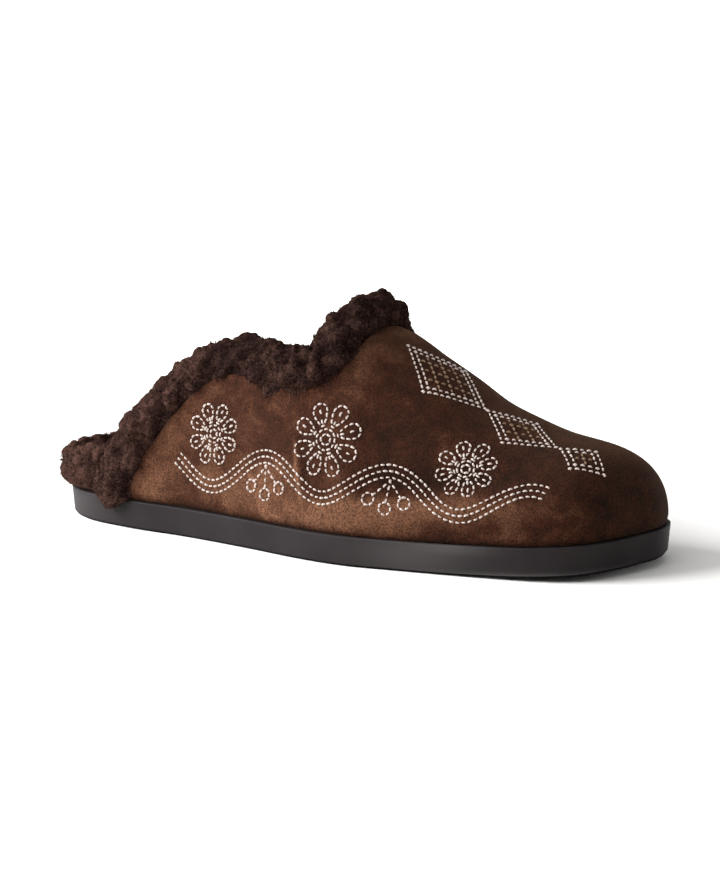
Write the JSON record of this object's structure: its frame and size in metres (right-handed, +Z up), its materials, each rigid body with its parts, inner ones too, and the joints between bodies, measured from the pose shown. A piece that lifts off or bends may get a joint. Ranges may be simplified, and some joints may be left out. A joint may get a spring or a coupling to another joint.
{
  "type": "clog",
  "caption": "Backless suede clog with a rolled fleece cuff and fleece footbed on a flat smooth rubber sole, for the right foot.",
  "frame": {"origin": "on the floor under the middle of the shoe's box", "axes": "+X towards the toe, +Y towards the inner side of the foot, +Z up"},
  "size_m": [0.2741, 0.0976, 0.1012],
  "materials": {
    "rubber_sole": "smooth satin, near black brown",
    "suede": "brushed suede nap, mottled brown, cream running stitches",
    "fleece_footbed": "curly sheepskin fleece, dark brown",
    "fleece_cuff": "curly sheepskin fleece, dark brown"
  },
  "bodies": {
    "root": {"outsole": "rubber_sole", "upper": "suede", "insole": "fleece_footbed", "cuff": "fleece_cuff"}
  },
  "joints": []
}
